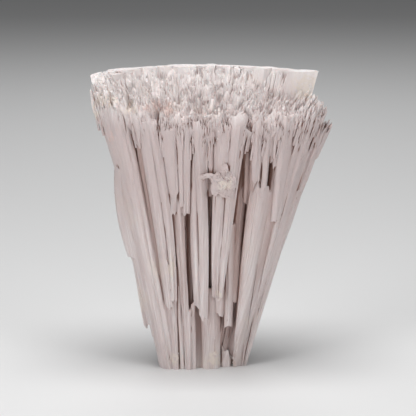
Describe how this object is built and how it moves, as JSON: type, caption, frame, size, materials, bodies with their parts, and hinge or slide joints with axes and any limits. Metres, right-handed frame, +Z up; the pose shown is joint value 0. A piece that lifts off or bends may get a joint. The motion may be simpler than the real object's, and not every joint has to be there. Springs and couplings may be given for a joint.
{
  "type": "manganoan calcite specimen",
  "caption": "Pale pink fibrous calcite: fused upright columns fanning from a narrow base, cut flat to stand, up to a bristling growth face with a flat rear rim.",
  "frame": {"origin": "middle of the flat base, on the plane it rests on", "axes": "+Z up along the columns, front face towards -Y, +X to the right seen from the front"},
  "size_m": [0.0962, 0.0523, 0.118],
  "materials": {
    "calcite": "satin, finely fibrous"
  },
  "bodies": {
    "root": {"calcite_specimen": "calcite"}
  },
  "joints": []
}
